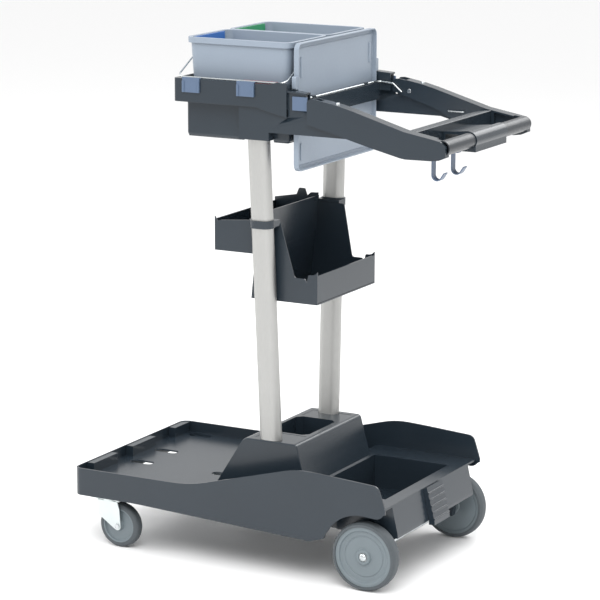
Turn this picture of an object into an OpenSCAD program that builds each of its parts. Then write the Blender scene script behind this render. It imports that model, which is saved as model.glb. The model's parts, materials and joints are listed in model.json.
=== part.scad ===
// Housekeeping cart: a wheeled tray base, two splayed columns, a bucket frame,
// a folding push handle that holds a waste bag, a lid, and a mid-height organiser.
// X runs along the cart towards the handle, Y across it, Z up. Millimetres.
// The origin is on the floor under the middle of the cart's overall length.

/* [Overall] */
// Length from the front of the base to the back of the grip
overall_length = 904; // [860:1:960]
// Width across the base
base_width = 480; // [440:1:520]
// Length of the base, front edge to rear face
base_length = 786; // [750:1:810]
// Height of the storage floor of the front tray
tray_floor_z = 152; // [146:1:160]
// Height of the console top that carries the columns
console_z = 275; // [262:1:290]
// Height of the middle of the grip
grip_z = 958; // [940:1:975]
// Height of the top edge of the bucket frame
frame_top_z = 1064; // [1050:1:1075]
// Height of the bucket rims
bucket_top_z = 1149; // [1140:1:1160]

/* [Base] */
// Wall thickness of the base moulding
base_wall = 4; // [3:0.5:5]
// Corner radius of the base in plan
base_corner_r = 22; // [14:1:28]
// Height of the front wall of the tray
front_wall_z = 176; // [170:1:182]
// Height of the highest point of the side walls
side_peak_z = 248; // [236:1:256]
// Distance from the front of the base to the columns
column_setback = 449; // [440:1:458]
// Width of the console at its top
console_width = 308; // [300:1:316]
// Length of the slots in the tray floor
slot_length = 60; // [40:1:70]
// Width of the slots in the tray floor
slot_width = 24; // [16:1:30]

/* [Wheels] */
// Radius of the rear wheels
rear_wheel_r = 75; // [70:1:78]
// Width of the rear tyres
rear_wheel_w = 32; // [26:1:34]
// Distance from the front of the base to the rear axle
rear_axle_setback = 726.5; // [715:0.5:735]
// Radius of the rear axle rod
axle_r = 6; // [5:0.5:7]
// Radius of the front caster wheels
caster_wheel_r = 50; // [46:1:52]
// Width of the front caster wheels
caster_wheel_w = 28; // [22:1:30]
// Distance from the front of the base to the caster pivots
caster_setback = 79; // [74:1:90]
// Distance of the caster pivots from the middle plane
caster_y = 207; // [196:1:208]
// Trail of the casters
caster_trail = 27; // [20:1:30]

/* [Columns] */
// Width of the column tube across the cart
column_w = 32; // [28:1:34]
// Depth of the column tube along the cart
column_d = 50; // [44:1:52]
// Wall of the column tube
column_wall = 2; // [1.5:0.5:3]
// Distance of each column from the middle plane at the console top
column_y = 134.7; // [130:0.1:137]
// Outward splay of the columns in degrees
column_splay = 3.35; // [3:0.05:3.5]
// Forward rake of the columns in degrees
column_rake = 0.72; // [0.4:0.02:0.9]

/* [Bucket frame] */
// Length of the bucket frame
frame_length = 275; // [270:1:285]
// Distance from the front of the base to the front of the bucket frame
frame_setback = 252; // [246:1:256]
// Half width of the bucket frame
frame_half_w = 212; // [210:1:214]
// Depth of the side of the bucket frame
frame_depth = 50; // [44:1:54]
// Wall thickness of the upper mouldings
frame_wall = 4; // [3:0.5:5]
// Height of the underside of the bucket tub
tub_bottom_z = 937; // [930:1:945]

/* [Buckets] */
// Length of a bucket across its rim
bucket_length = 254; // [248:1:256]
// Width of a bucket across its rim
bucket_width = 178; // [172:1:180]
// Taper of a bucket at each end and side over its height
bucket_taper = 8; // [5:1:12]
// Wall of a bucket
bucket_wall = 2.5; // [2:0.5:3.5]
// Radius of the bucket bail wire
bail_r = 2; // [1.5:0.25:2.5]

/* [Lid] */
// Height of the lid panel as it stands in its slot
lid_height = 271; // [262:1:275]
// Width of the lid panel
lid_width = 362; // [350:1:364]
// Thickness of the lid across its rim
lid_depth = 11.5; // [10:0.5:12]

/* [Handle] */
// Radius of the grip tube
grip_r = 16; // [14:1:18]
// Half width across the outside of the handle arms
arm_half_w = 215; // [214:0.5:218]
// Width of a handle arm
arm_w = 29; // [28:0.5:30]
// Wall thickness of the handle arms
arm_wall = 4; // [3:0.5:4.5]
// Distance of the fold pivot from the front of the base
fold_setback = 617; // [614:1:622]
// Height of the fold pivot
fold_z = 1013; // [1010:1:1016]
// Radius of the fold pivot pins
fold_pin_r = 5; // [4:0.5:6]
// Width of a handle hook strip
hook_w = 18; // [12:1:20]

/* [Organiser] */
// Half width of the organiser
organiser_half_w = 136; // [130:0.5:136]
// Wall of the organiser
organiser_wall = 3; // [2.5:0.5:3.5]
// Height of the organiser's underside
organiser_bottom_z = 585; // [575:1:595]
// Height of the top of the organiser's middle wall
organiser_top_z = 772; // [764:1:780]

/* [Fits] */
// Gap between pieces that move past each other
gap = 0.6; // [0.4:0.1:1]
// Radial clearance of a running shaft
run_fit = 0.05; // [0.02:0.01:0.08]

/* [Hidden] */
$fn = 64;

DARK = "#4d545a";
BLUE_GREY = "#9fb0bf";
CLIP_BLUE = "#8296b4";
ALUMINIUM = "#c8c6c2";
STEEL = "#cdd3d4";
HUB_GREY = "#869298";
TYRE = "#4b5358";

front_x = -overall_length / 2;
rear_x = front_x + base_length;
column_x = front_x + column_setback;
axle_x = front_x + rear_axle_setback;
half_w = base_width / 2;

// ---- shared shapes -------------------------------------------------------

// Extrudes a side profile, drawn with X and Z, from y0 to y1.
module across(y0, y1) {
    translate([0, y1, 0]) rotate([90, 0, 0]) linear_extrude(y1 - y0) children();
}

// Extrudes an end profile, drawn with Y and Z, from x0 to x1.
module along(x0, x1) {
    translate([x0, 0, 0]) rotate([90, 0, 90]) linear_extrude(x1 - x0) children();
}

// Rectangle from (x0, y0) to (x1, y1).
module rect(x0, y0, x1, y1) {
    translate([x0, y0]) square([x1 - x0, y1 - y0]);
}

// Rectangle with round corners.
module round_rect(x0, y0, x1, y1, r) {
    rect(x0 + r, y0, x1 - r, y1);
    rect(x0, y0 + r, x1, y1 - r);
    for (x = [x0 + r, x1 - r], y = [y0 + r, y1 - r]) translate([x, y]) circle(r);
}

// Block from (x0, y0, z0) to (x1, y1, z1).
module block(x0, y0, z0, x1, y1, z1) {
    translate([x0, y0, z0]) cube([x1 - x0, y1 - y0, z1 - z0]);
}

// Corners of a side profile, given as [x, z, length of the bend], with each bend rounded.
function soft(p) = [
    for (i = [0 : len(p) - 1])
        let (n = len(p), b = [p[i][0], p[i][1]], before = p[(i + n - 1) % n], after = p[(i + 1) % n])
        let (u = [before[0], before[1]] - b, v = [after[0], after[1]] - b, cut = p[i][2])
        each cut == 0 ? [b] : [
            for (k = [0 : 5]) let (t = k / 5)
                (1 - t) * (1 - t) * (b + u * cut / norm(u)) + 2 * t * (1 - t) * b
                    + t * t * (b + v * cut / norm(v))
        ]
];

// Rod along Y from y0 to y1.
module rod_y(x, z, y0, y1, r) {
    translate([x, y0, z]) rotate([-90, 0, 0]) cylinder(h = y1 - y0, r = r);
}

// Turn from one direction to the next, in degrees, between -180 and 180.
function turn(a, b) = atan2(a[0] * b[1] - a[1] * b[0], a[0] * b[0] + a[1] * b[1]);

// Length a bend takes off each of the two runs that meet at a corner.
function bend_cut(a, b, bend) = bend * tan(abs(turn(a, b)) / 2);

// Wire bent in the XY plane through a list of points, with a bend radius for each point.
module wire(points, bends, r) {
    last = len(points) - 1;
    run = [for (i = [0 : last - 1]) points[i + 1] - points[i]];
    cut = [for (i = [0 : last]) i == 0 || i == last ? 0 : bend_cut(run[i - 1], run[i], bends[i])];
    for (i = [0 : last - 1]) {
        heading = atan2(run[i][1], run[i][0]);
        translate(points[i]) rotate([0, 0, heading]) {
            translate([cut[i], 0, 0]) rotate([0, 90, 0])
                cylinder(h = norm(run[i]) - cut[i] - cut[i + 1], r = r, $fn = 32);
            if (i > 0) {
                a = turn(run[i - 1], run[i]);
                translate([cut[i], a > 0 ? bends[i] : -bends[i], 0]) rotate([0, 0, a > 0 ? -90 - a : 90])
                    rotate_extrude(angle = abs(a)) translate([bends[i], 0]) circle(r, $fn = 32);
            }
        }
    }
}

// The piece and its mirror image on the far side of the cart.
module both_sides() {
    children();
    mirror([0, 1, 0]) children();
}

// ---- base ----------------------------------------------------------------

valley_x = front_x + 301;
peak_x = front_x + 583;
wall_rear_x = front_x + 763;
skirt_z = 114;
skirt_low_z = 93;
arch_r = 91;
arch_x = axle_x - 4;
arch_top_z = rear_wheel_r + 1 + arch_r;
housing_in_y = half_w - 50;
well_front_x = front_x + 557;
well_rear_x = front_x + 739;
well_half_w = 155;
well_floor_z = 108;
deck_z = 184;
rail_x = rear_x - 14.4;
console_front_x = column_x - 58;
console_foot_x = console_front_x - (console_z - tray_floor_z) * 0.65;
console_rear_x = column_x + 72;
console_step_x = console_rear_x + 14;
console_step_z = 223;
console_heel_x = console_rear_x + 27;
bin_front_x = column_x - 44;
bin_rear_x = column_x + 54;
bin_half_w = 72;
bin_floor_z = 195;
foot_gap = 0.3;

// Outline of the whole base seen from the side, skirt to wall tops.
module base_side() {
    difference() {
        polygon(soft([
            [front_x, skirt_z, 3], [front_x + 159, skirt_z, 30], [front_x + 393, skirt_z - 11, 40],
            [front_x + 601, skirt_low_z, 6], [front_x + 635, skirt_low_z + 11, 4],
            [front_x + 640, skirt_z + 4, 4], [rear_x - 4, skirt_z + 4, 4],
            [rear_x - 6, deck_z, 0], [wall_rear_x + 12, deck_z + 16, 6],
            [wall_rear_x, deck_z + 52, 12], [peak_x + 50, side_peak_z - 3, 32],
            [peak_x - 16, side_peak_z, 32], [valley_x, front_wall_z, 45], [front_x, front_wall_z, 2]
        ]));
        translate([arch_x, rear_wheel_r + 1]) circle(arch_r);
    }
}

// The space above the floors, between the walls, seen from the side.
module cargo_side() {
    polygon([
        [front_x + base_wall, tray_floor_z], [console_foot_x, tray_floor_z],
        [peak_x - 90, tray_floor_z], [peak_x - 60, deck_z], [rear_x + 1, deck_z],
        [rear_x + 1, side_peak_z + 9], [front_x + base_wall, side_peak_z + 9]
    ]);
}

// The open underside, seen from the side.
module under_side() {
    polygon([
        [front_x + base_wall, skirt_low_z - 9], [front_x + base_wall, tray_floor_z - base_wall],
        [peak_x - 88, tray_floor_z - base_wall], [peak_x - 58, deck_z - base_wall],
        [rear_x - 10, deck_z - base_wall], [rear_x - 5, skirt_low_z - 9]
    ]);
}

module base_plan(inset) {
    round_rect(front_x + inset, -half_w + inset, rear_x + 60, half_w - inset, base_corner_r - inset);
}

// Console outline seen from the side.
module console_side(t) {
    polygon(soft([
        [console_foot_x + t, tray_floor_z - base_wall, 0], [console_front_x + t * 0.7, console_z - t, 9],
        [console_rear_x - t, console_z - t, 8], [console_step_x - t, console_step_z, 14],
        [console_heel_x - t, deck_z - base_wall + 1, 0], [console_heel_x - t, tray_floor_z - base_wall, 0]
    ]));
}

// One slot in the tray floor.
module floor_slot(x, y) {
    straight = slot_length - slot_width;
    translate([x + slot_width / 2, y, tray_floor_z - base_wall - 1]) {
        cylinder(h = base_wall + 2, d = slot_width);
        translate([straight, 0, 0]) cylinder(h = base_wall + 2, d = slot_width);
        translate([0, -slot_width / 2, 0]) cube([straight, slot_width, base_wall + 2]);
    }
}

// Oval section of a column, grown by g on every side.
module column_section(g) {
    r = column_w / 2 + g;
    s = (column_d - column_w) / 2;
    rect(-s, -r, s, r);
    for (x = [-s, s]) translate([x, 0]) circle(r);
}

// Places a child on a column's axis, with Z up the column from the console top.
module on_column(side) {
    translate([column_x, side * column_y, console_z])
        rotate([-side * column_splay, -column_rake, 0]) children();
}

screw_z = tub_bottom_z + 14;
column_foot = 52;
column_top_z = 964;
column_up = (column_top_z - console_z) / cos(column_splay);

// Slanted oval socket cut for a column.
module column_bore(side, z0, z1) {
    on_column(side) translate([0, 0, z0]) linear_extrude(z1 - z0) column_section(foot_gap);
}

module base_tray() {
    cover_x0 = column_x - 40;
    cover_x1 = column_x + 58;
    color(DARK) {
        difference() {
            union() {
                // outer shell with its floors, open below
                difference() {
                    intersection() {
                        across(-half_w, half_w) base_side();
                        translate([0, 0, skirt_low_z - 20]) linear_extrude(300) base_plan(0);
                    }
                    intersection() {
                        across(-half_w + base_wall, half_w - base_wall) cargo_side();
                        translate([0, 0, tray_floor_z]) linear_extrude(200) base_plan(base_wall);
                    }
                    intersection() {
                        across(-half_w + base_wall, half_w - base_wall) under_side();
                        translate([0, 0, skirt_low_z - 30]) linear_extrude(200) base_plan(base_wall);
                    }
                    // the rear end is narrower below the deck, outside the wheels
                    both_sides() block(rear_x - 16, -half_w + base_wall, 0, rear_x + 60,
                                       -housing_in_y, deck_z - base_wall);
                    // the rear face leans forward between the side walls
                    across(-half_w + base_wall, half_w - base_wall) polygon([
                        [rail_x, deck_z + 40], [rail_x, deck_z], [rear_x, skirt_z + 7],
                        [rear_x + 20, skirt_z + 7], [rear_x + 20, deck_z + 40]
                    ]);
                }
                // front ledge blocks inside the front wall
                for (y = [-137, 28, 217]) {
                    block(front_x + base_wall - 1, y - 50, tray_floor_z - 1, front_x + 22,
                          min(y + 50, half_w - base_wall - 1), front_wall_z - 1);
                }
                // walls and floor of the well
                block(well_front_x - base_wall, -well_half_w - base_wall, well_floor_z - base_wall,
                      well_rear_x + base_wall, well_half_w + base_wall, deck_z - 1);
                // rear panel between the wheels, below the deck edge
                across(-housing_in_y, housing_in_y) polygon([
                    [rail_x - 4, deck_z], [rail_x, deck_z], [rear_x, skirt_z + 7],
                    [rear_x, skirt_z - 1], [rear_x - 4, skirt_z - 1]
                ]);
                // inner walls of the wheel housings
                both_sides() across(-housing_in_y, -housing_in_y + base_wall) polygon([
                    [front_x + 640, deck_z - base_wall], [rail_x - 1, deck_z - 2],
                    [rear_x - 1, skirt_z], [rear_x - 1, skirt_z - 1], [front_x + 640, skirt_z - 1]
                ]);
                // axle carriers reaching down to the axle
                both_sides() across(-housing_in_y, -housing_in_y + 16) difference() {
                    polygon([
                        [axle_x - 34, deck_z - base_wall + 1], [axle_x + 30, deck_z - base_wall + 1],
                        [axle_x + 16, rear_wheel_r - 14], [axle_x - 16, rear_wheel_r - 14]
                    ]);
                    translate([axle_x, rear_wheel_r]) circle(axle_r + run_fit);
                }
                // caster pads under the tray floor
                both_sides() block(front_x + caster_setback - 38, -caster_y - 26, skirt_z - 1,
                                   front_x + caster_setback + 38, -caster_y + 34, tray_floor_z - base_wall + 1);
                // console shell
                across(-console_width / 2, console_width / 2) console_side(0);
            }
            // hollow of the console, open below
            difference() {
                across(-console_width / 2 + base_wall, console_width / 2 - base_wall)
                    console_side(base_wall);
                // bin between the columns
                block(bin_front_x - base_wall, -bin_half_w - base_wall, bin_floor_z - base_wall,
                      bin_rear_x + base_wall, bin_half_w + base_wall, console_z);
                // column sockets
                for (s = [-1, 1]) on_column(s) translate([0, 0, -column_foot - base_wall])
                    linear_extrude(column_foot + base_wall + 1) column_section(foot_gap + base_wall);
            }
            translate([0, 0, bin_floor_z]) linear_extrude(100) polygon([
                [bin_front_x + 12, -bin_half_w], [bin_rear_x - 12, -bin_half_w],
                [bin_rear_x, -bin_half_w + 12], [bin_rear_x, bin_half_w - 12],
                [bin_rear_x - 12, bin_half_w], [bin_front_x + 12, bin_half_w],
                [bin_front_x, bin_half_w - 12], [bin_front_x, -bin_half_w + 12]
            ]);
            for (s = [-1, 1]) column_bore(s, -column_foot, 10);
            // the well behind the console, open above
            block(well_front_x, -well_half_w, well_floor_z, well_rear_x, well_half_w, console_z);
            // recesses for the cover plates beside the columns
            both_sides() block(cover_x0, -136, console_z - 2, cover_x1, -80, console_z + 1);
            // slots in the tray floor
            for (y = [-210, -54, 54, 210]) floor_slot(front_x + 36, y);
            for (y = [-54, 54]) floor_slot(front_x + 252, y);
            // wheel arches through the side walls and the floor above the tyres
            both_sides() rod_y(arch_x, rear_wheel_r + 1, -half_w - 1, -housing_in_y - 0.1, arch_r);
            both_sides() across(-half_w - 1, -housing_in_y - 0.1) polygon(soft([
                [arch_x, 0, 0], [arch_x, arch_top_z, 0], [rear_x - 20, arch_top_z - 3, 10],
                [rear_x - 8, arch_top_z + 10, 6], [rear_x + 20, arch_top_z + 10, 0], [rear_x + 20, 0, 0]
            ]));
            // bores for the caster plate bolts
            both_sides() for (dx = [-26, 26], dy = [-18, 18])
                translate([front_x + caster_setback + dx, -caster_y + 4 + dy, skirt_z - 2])
                    cylinder(h = 22, r = 3 + run_fit);
        }
    }
}

// Cover plate let into the console top, with a window for its column.
module column_cover(side) {
    color(DARK) difference() {
        block(column_x - 40 + foot_gap, side > 0 ? 80 + foot_gap : -136 + foot_gap, console_z - 2,
              column_x + 58 - foot_gap, side > 0 ? 136 - foot_gap : -80 - foot_gap, console_z - 0.4);
        on_column(side) translate([0, 0, -6]) linear_extrude(12) column_section(foot_gap + 0.2);
    }
}

// Ribbed tread plate on the rear face of the base.
module foot_plate() {
    plate_half_w = 38;
    rib_step = 14;
    color(DARK) {
        across(-plate_half_w, plate_half_w) polygon([
            [rear_x + foot_gap, 104], [rear_x + foot_gap, skirt_z + 7],
            [rail_x + 2 * foot_gap, deck_z - 2], [rear_x - 6, deck_z + 2],
            [rear_x + 14, 112], [rear_x + 14, 104]
        ]);
        for (i = [0 : 4]) {
            z = 117 + i * rib_step;
            x = rear_x + 14 - (z - 112) * 20 / 74;
            rod_y(x - 0.4, z, -plate_half_w, plate_half_w, 2.4);
        }
    }
}

// ---- rear wheels ---------------------------------------------------------

wheel_out_y = half_w - 3;
wheel_in_y = wheel_out_y - rear_wheel_w;
wheel_mid_y = wheel_out_y - rear_wheel_w / 2;
rim_r = rear_wheel_r - 9;
bush_r = axle_r + 4;

// Turns a profile of (radius, offset along the axle) about the rear axle line.
module on_axle(y) {
    translate([axle_x, y, rear_wheel_r]) rotate([-90, 0, 0]) rotate_extrude() children();
}

module rear_axle() {
    color(STEEL) rod_y(axle_x, rear_wheel_r, -wheel_out_y + 2, wheel_out_y - 2, axle_r);
}

module axle_caps() {
    color(STEEL) both_sides() translate([axle_x, -wheel_out_y + 2 - 0.01, rear_wheel_r])
        rotate([90, 0, 0]) rotate_extrude() polygon([[0, 0.01], [9, 0.01], [9, 1.4], [6.5, 4.2], [3, 5.6], [0, 6]]);
}

// Wheel centre, outer face towards +offset for the right wheel.
module rear_wheel(side) {
    h = rear_wheel_w / 2;
    o = side;
    color(HUB_GREY) on_axle(side * wheel_mid_y) polygon([
        [bush_r, -o * (h - 1)], [16, -o * (h - 1)], [18, -o * (h - 7)], [rim_r - 10, -o * (h - 7)],
        [rim_r - 7, -o * (h - 2)], [rim_r, -o * (h - 2)], [rim_r, o * (h - 2)],
        [rim_r - 5, o * (h - 1.5)], [rim_r - 8, o * (h - 5)], [18, o * (h - 5)],
        [16, o * (h - 3)], [bush_r, o * (h - 3)]
    ]);
}

module rear_tyre(side) {
    h = rear_wheel_w / 2;
    color(TYRE) on_axle(side * wheel_mid_y) polygon([
        [rim_r, -h], [rim_r + 4, -h], [rear_wheel_r - 2.2, -h + 4], [rear_wheel_r, -h + 10],
        [rear_wheel_r, h - 10], [rear_wheel_r - 2.2, h - 4], [rim_r + 4, h], [rim_r, h]
    ]);
}

module rear_bush(side) {
    h = rear_wheel_w / 2 - 3;
    color("#d8d8d4") on_axle(side * wheel_mid_y) rect(axle_r + run_fit, -h, bush_r, h);
}

// ---- front casters -------------------------------------------------------

caster_x = front_x + caster_setback;
fork_half_w = caster_wheel_w / 2 + 5;
fork_top_z = skirt_z - 8;
crown_t = 3;
caster_axle_r = 4;
kingpin_r = 5;

// Fixed top plate with its kingpin and bolts.
module caster_plate(side) {
    y = side * caster_y;
    color(STEEL) {
        block(caster_x - 36, y - (side > 0 ? 30 : 24), skirt_z - 4, caster_x + 36,
              y + (side > 0 ? 24 : 30), skirt_z - 1 - 0.01);
        translate([caster_x, y, fork_top_z - crown_t - 2]) cylinder(h = 11, r = kingpin_r);
        translate([caster_x, y, fork_top_z - crown_t - 2.5]) cylinder(h = 2.2, r = kingpin_r + 3);
        translate([caster_x, y, fork_top_z + 0.3]) cylinder(h = 4, r = 20);
        for (dx = [-26, 26], dy = [-18, 18])
            translate([caster_x + dx, y - side * 4 + dy, skirt_z - 7]) {
                cylinder(h = 22, r = 3);
                cylinder(h = 3.5, r = 5.5, $fn = 6);
            }
    }
}

module caster_fork(side) {
    y = side * caster_y;
    axle_at = caster_x + caster_trail;
    color(STEEL) {
        // crown
        difference() {
            block(caster_x - 25, y - fork_half_w, fork_top_z - crown_t,
                  caster_x + 27, y + fork_half_w, fork_top_z);
            translate([caster_x, y, fork_top_z - 20]) cylinder(h = 30, r = kingpin_r + run_fit);
        }
        // cheeks that taper to the axle
        for (s = [-1, 1]) across(y + s * (fork_half_w - 1.5) - 1.5, y + s * (fork_half_w - 1.5) + 1.5)
            difference() {
                union() {
                    polygon([
                        [caster_x - 25, fork_top_z], [caster_x + 27, fork_top_z],
                        [caster_x + 33, fork_top_z - 16], [axle_at + 9, caster_wheel_r],
                        [axle_at - 6.5, caster_wheel_r - 6.5], [caster_x - 22, fork_top_z - 34]
                    ]);
                    translate([axle_at, caster_wheel_r]) circle(9);
                }
                translate([axle_at, caster_wheel_r]) circle(caster_axle_r + run_fit);
            }
    }
}

module caster_axle(side) {
    y = side * caster_y;
    axle_at = caster_x + caster_trail;
    color(STEEL) {
        rod_y(axle_at, caster_wheel_r, y - fork_half_w - 3, y + fork_half_w + 3, caster_axle_r);
        for (s = [-1, 1]) translate([axle_at, y + s * (fork_half_w + 1.7), caster_wheel_r])
            rotate([90, 0, 0]) cylinder(h = 3.4 - 0.02, r = 6.5, center = true, $fn = 6);
    }
}

module on_caster_axle(side) {
    translate([caster_x + caster_trail, side * caster_y, caster_wheel_r])
        rotate([-90, 0, 0]) rotate_extrude() children();
}

module caster_wheel(side) {
    h = caster_wheel_w / 2;
    r = caster_wheel_r - 11;
    color(HUB_GREY) on_caster_axle(side) polygon([
        [caster_axle_r + run_fit, -h], [10, -h], [12, -h + 6], [r - 5, -h + 6], [r - 3, -h + 1], [r, -h + 1],
        [r, h - 1], [r - 3, h - 1], [r - 5, h - 6], [12, h - 6], [10, h], [caster_axle_r + run_fit, h]
    ]);
}

module caster_tyre(side) {
    h = caster_wheel_w / 2;
    r = caster_wheel_r - 11;
    color(TYRE) on_caster_axle(side) polygon([
        [r, -h + 1], [r + 5, -h + 1], [caster_wheel_r - 2, -h + 5], [caster_wheel_r, -h + 10],
        [caster_wheel_r, h - 10], [caster_wheel_r - 2, h - 5], [r + 5, h - 1], [r, h - 1]
    ]);
}

// ---- columns -------------------------------------------------------------

module column(side) {
    color(ALUMINIUM) on_column(side) translate([0, 0, -column_foot + foot_gap])
        linear_extrude(column_up + column_foot - foot_gap) difference() {
            column_section(0);
            column_section(-column_wall);
        }
}

// Screws through the column sockets, from the inner side.
module column_screws() {
    color(STEEL) both_sides() for (x = [-9, 9])
        translate([column_x + x - 9, -socket_in_y + 2.2, screw_z]) rotate([90, 0, 0]) {
            cylinder(h = 2.2 + socket_wall - foot_gap, r = 3 - run_fit);
            cylinder(h = 2.2 - 0.01, r = 5.5);
        }
}

// ---- organiser -----------------------------------------------------------

org_front_x = column_x - 140;
org_mid_x = column_x - 28;
org_slim_x = column_x - 46;
org_rear_x = column_x + 113;
org_pocket_z = organiser_bottom_z + 98;
org_low_wall_z = organiser_bottom_z + 55;
org_rear_wall_z = organiser_bottom_z + 64;
org_side_z = organiser_top_z - 14;

// Side wall of the big pocket, with its top reaching back to top_x.
module organiser_side_wall(top_x) {
    polygon(soft([
        [org_slim_x - organiser_wall, organiser_bottom_z, 0], [org_rear_x, organiser_bottom_z, 4],
        [org_rear_x, org_rear_wall_z + 8, 1], [org_rear_x - 6, org_rear_wall_z + 2, 2],
        [org_rear_x - 14, org_rear_wall_z, 2], [org_rear_x - 22, org_rear_wall_z, 2],
        [org_rear_x - 26, org_low_wall_z - 8, 2], [org_rear_x - 31, org_low_wall_z, 3],
        [org_rear_x - 56, org_low_wall_z, 6], [top_x, org_side_z, 3],
        [org_mid_x - organiser_wall, org_side_z, 0]
    ]));
}

module organiser() {
    w = organiser_wall;
    hw = organiser_half_w;
    color(DARK) difference() {
        union() {
            across(-hw, -hw + w) organiser_side_wall(column_x + 22);
            across(hw - w, hw) organiser_side_wall(column_x + 36);
            // floor and rear wall of the big pocket, and the leaning wall between the pockets
            block(org_slim_x - w, -hw, organiser_bottom_z, org_rear_x, hw, organiser_bottom_z + w);
            block(org_rear_x - w, -hw, organiser_bottom_z + 4, org_rear_x, hw, org_rear_wall_z);
            across(-hw, hw) polygon([
                [org_slim_x - w, organiser_bottom_z], [org_slim_x, organiser_bottom_z],
                [org_mid_x, organiser_top_z], [org_mid_x - w, organiser_top_z]
            ]);
            // front pocket
            block(org_front_x, -hw, org_pocket_z, org_mid_x - 8, hw, org_pocket_z + w);
            block(org_front_x, -hw, org_pocket_z, org_front_x + w, hw, org_side_z - 6);
            across(-hw, -hw + w) polygon(soft([
                [org_front_x, org_pocket_z, 0], [org_mid_x - 8, org_pocket_z, 0],
                [org_mid_x - w, org_side_z, 0], [org_front_x + 15, org_side_z - 8, 3],
                [org_front_x + 6, org_side_z - 10, 2], [org_front_x, org_side_z, 0]
            ]));
            across(hw - w, hw) polygon(soft([
                [org_front_x, org_pocket_z, 0], [org_mid_x - 8, org_pocket_z, 0],
                [org_mid_x - 1, org_side_z + 20, 0], [org_slim_x - 2, org_side_z + 19, 2],
                [org_slim_x - 11, org_side_z + 11, 3], [org_slim_x - 17, org_side_z + 27, 2],
                [org_slim_x - 32, org_side_z + 27, 2], [org_slim_x - 38, org_side_z + 12, 2],
                [org_front_x, org_side_z + 2, 0]
            ]));
        }
        // room for the columns
        for (s = [-1, 1]) column_bore(s, organiser_bottom_z - console_z - 30, organiser_top_z - console_z + 30);
    }
}

// Strap that ties the organiser to a column.
module organiser_strap(side) {
    strap_h = 17;
    z0 = organiser_top_z - 23;
    mid_x = column_x - (z0 - console_z) * tan(column_rake);
    mid_y = column_y + (z0 - console_z) * tan(column_splay);
    w = column_d / 2 + organiser_wall;
    color(DARK) mirror([0, side > 0 ? 0 : 1, 0]) difference() {
        union() {
            on_column(1) translate([0, 0, (z0 - console_z) / cos(column_splay)]) linear_extrude(strap_h)
                column_section(foot_gap + organiser_wall);
            block(mid_x - w, organiser_half_w + 0.1, z0 + 2, mid_x + w, mid_y, z0 + strap_h - 2);
        }
        column_bore(1, z0 - console_z - 30, z0 - console_z + 60);
    }
}

// ---- bucket tub and frame ------------------------------------------------

frame_x = front_x + frame_setback;
frame_end_x = frame_x + frame_length;
frame_low_z = frame_top_z - frame_depth;
tub_half_w = 184;
tub_floor_z = tub_bottom_z + 33;
socket_wall = 3.3;
column_head_y = column_y + (screw_z - console_z) * tan(column_splay);
socket_in_y = column_head_y - column_w / 2 - socket_wall;
socket_x0 = column_x - 40;
socket_x1 = column_x + 32;
tub_rear_x = frame_end_x - 9;
tub_front_x = frame_x + 16;
crossbar_x = frame_end_x + 13;
crossbar_t = 6;
crossbar_top_z = 1029;
crossbar_low_z = 991;
rail_top_z = 1053;
rail_end_x = frame_end_x + 44;
rail_in_y = arm_half_w - arm_w;
bracket_in_y = 199;
bracket_out_y = 205;
fold_x = front_x + fold_setback;

// Box that the buckets stand in, with a raised floor and notches for the column sockets.
module bucket_tub() {
    w = frame_wall;
    color(DARK) difference() {
        block(tub_front_x, -tub_half_w, tub_bottom_z, tub_rear_x, tub_half_w, frame_low_z - foot_gap);
        block(tub_front_x + w, -tub_half_w + w, tub_floor_z, tub_rear_x - w, tub_half_w - w, frame_low_z + 1);
        block(tub_front_x + w, -tub_half_w + w, tub_bottom_z - 1, tub_rear_x - w, tub_half_w - w,
              tub_floor_z - w);
        both_sides() block(socket_x0 - foot_gap, -tub_half_w - 1, tub_bottom_z - 1,
                           socket_x1 + foot_gap, -tub_half_w + w + 1, tub_floor_z - w);
    }
}

module bucket_frame() {
    w = frame_wall;
    hw = frame_half_w;
    color(DARK) {
        difference() {
            block(frame_x, -hw, frame_low_z, frame_end_x, hw, frame_top_z);
            // hollow between the outer walls and the bucket opening
            block(frame_x + w, -hw + w, frame_low_z + w, frame_end_x - w, hw - w, frame_top_z - w);
            // opening for the buckets in the top flange
            block(frame_x + w, -hw + 27, frame_top_z - w - 1, frame_end_x - w, hw - 27, frame_top_z + 1);
            // opening over the tub
            block(tub_front_x + w, -tub_half_w + w, frame_low_z - 1, tub_rear_x - w, tub_half_w - w,
                  frame_low_z + w + 1);
        }
        // side skirts that deepen towards the handle
        both_sides() across(-hw, -hw + w) polygon([
            [frame_x + 200, frame_low_z + 1], [frame_end_x - 58, frame_low_z - 5],
            [frame_end_x, frame_low_z - 17], [frame_end_x, frame_top_z + 4],
            [frame_end_x - 24, frame_top_z + 5], [frame_end_x - 40, frame_top_z - 1]
        ]);
        // side rails past the lid slot: inner wall, top flange and end webs
        both_sides() {
            across(-rail_in_y - w, -rail_in_y) polygon([
                [frame_end_x - 1, frame_low_z - 3], [rail_end_x, frame_low_z - 3],
                [rail_end_x, rail_top_z - 3], [frame_end_x - 1, rail_top_z]
            ]);
            across(-hw + 3, -rail_in_y) polygon([
                [frame_end_x - 1, rail_top_z - w], [rail_end_x, rail_top_z - 3 - w],
                [rail_end_x, rail_top_z - 3], [frame_end_x - 1, rail_top_z]
            ]);
        }
        // cross rail in front of the lid slot
        block(crossbar_x, -rail_in_y - 1, crossbar_low_z, crossbar_x + crossbar_t, rail_in_y + 1, crossbar_top_z);
    }
}

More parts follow.
